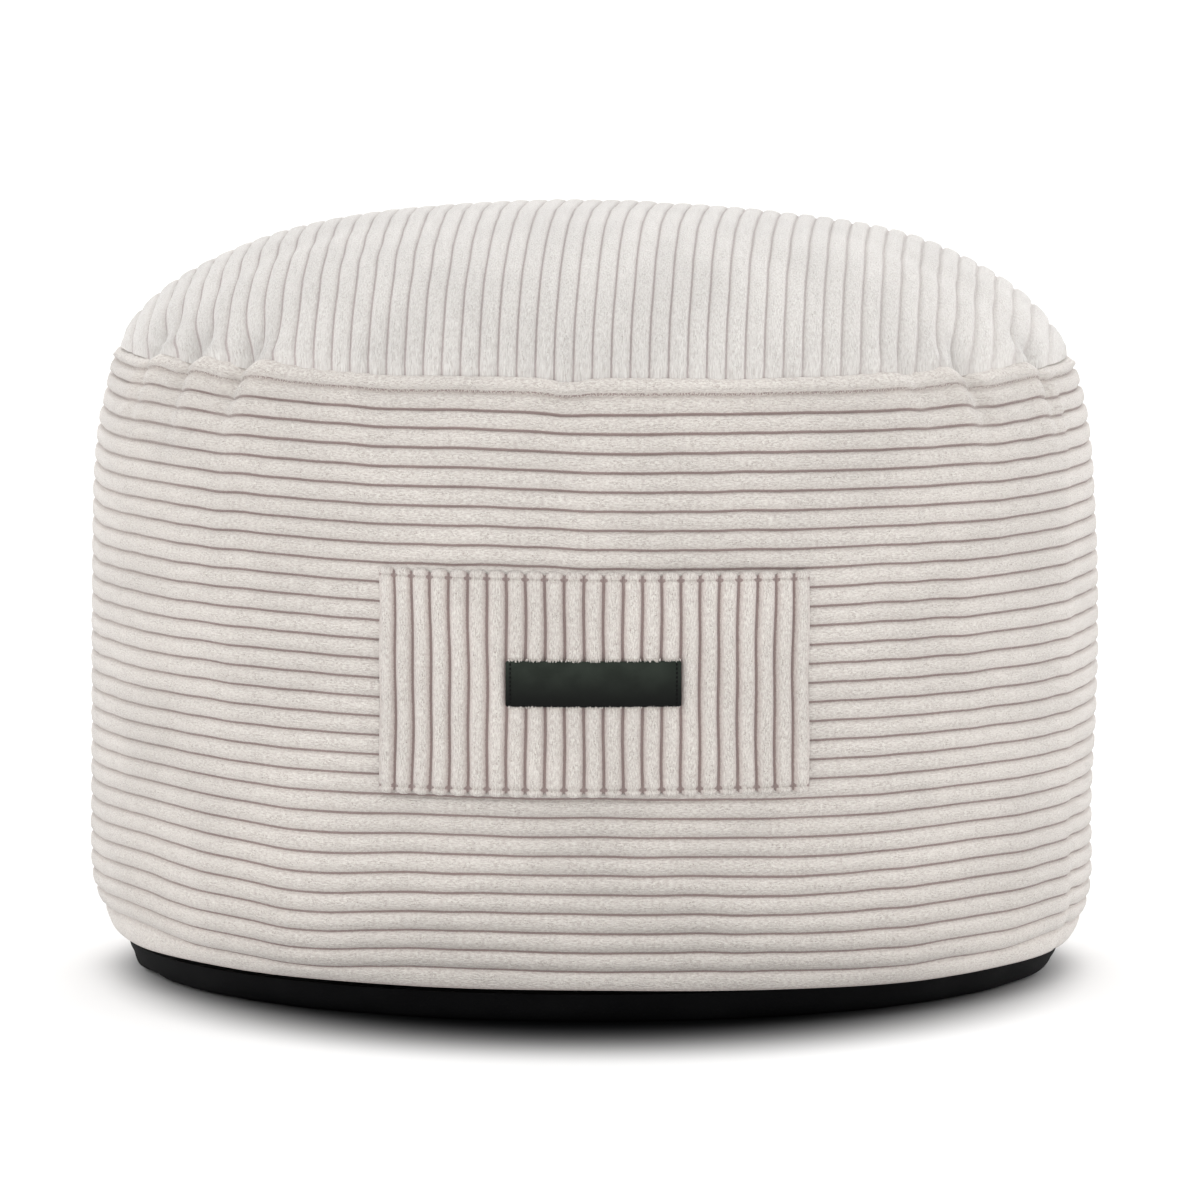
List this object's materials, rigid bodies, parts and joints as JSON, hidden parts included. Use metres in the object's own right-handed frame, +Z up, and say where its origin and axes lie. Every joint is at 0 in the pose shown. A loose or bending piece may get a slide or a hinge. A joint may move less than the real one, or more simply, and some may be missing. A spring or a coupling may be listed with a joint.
{
  "type": "bean bag footstool",
  "caption": "Round bead-filled footstool in wide-wale corduroy with a crowned top, a ribbed front patch, a leather tag and a flat black base.",
  "frame": {"origin": "centre of the flat base, on the surface that it rests on", "axes": "+Z up through the crown, -Y out of the front with the patch, +X to the right seen from the front"},
  "size_m": [0.5036, 0.5097, 0.3817],
  "materials": {
    "corduroy_top": "pale grey-beige wide-wale corduroy, soft cut pile",
    "corduroy_side": "pale grey-beige wide-wale corduroy, soft cut pile",
    "base_cloth": "plain black base cloth",
    "corduroy_patch": "pale grey-beige wide-wale corduroy, soft cut pile",
    "leather": "black grained leather, bare"
  },
  "bodies": {
    "root": {"top_panel": "corduroy_top", "side_band": "corduroy_side", "base_panel": "base_cloth", "patch": "corduroy_patch", "tag": "leather"}
  },
  "joints": []
}
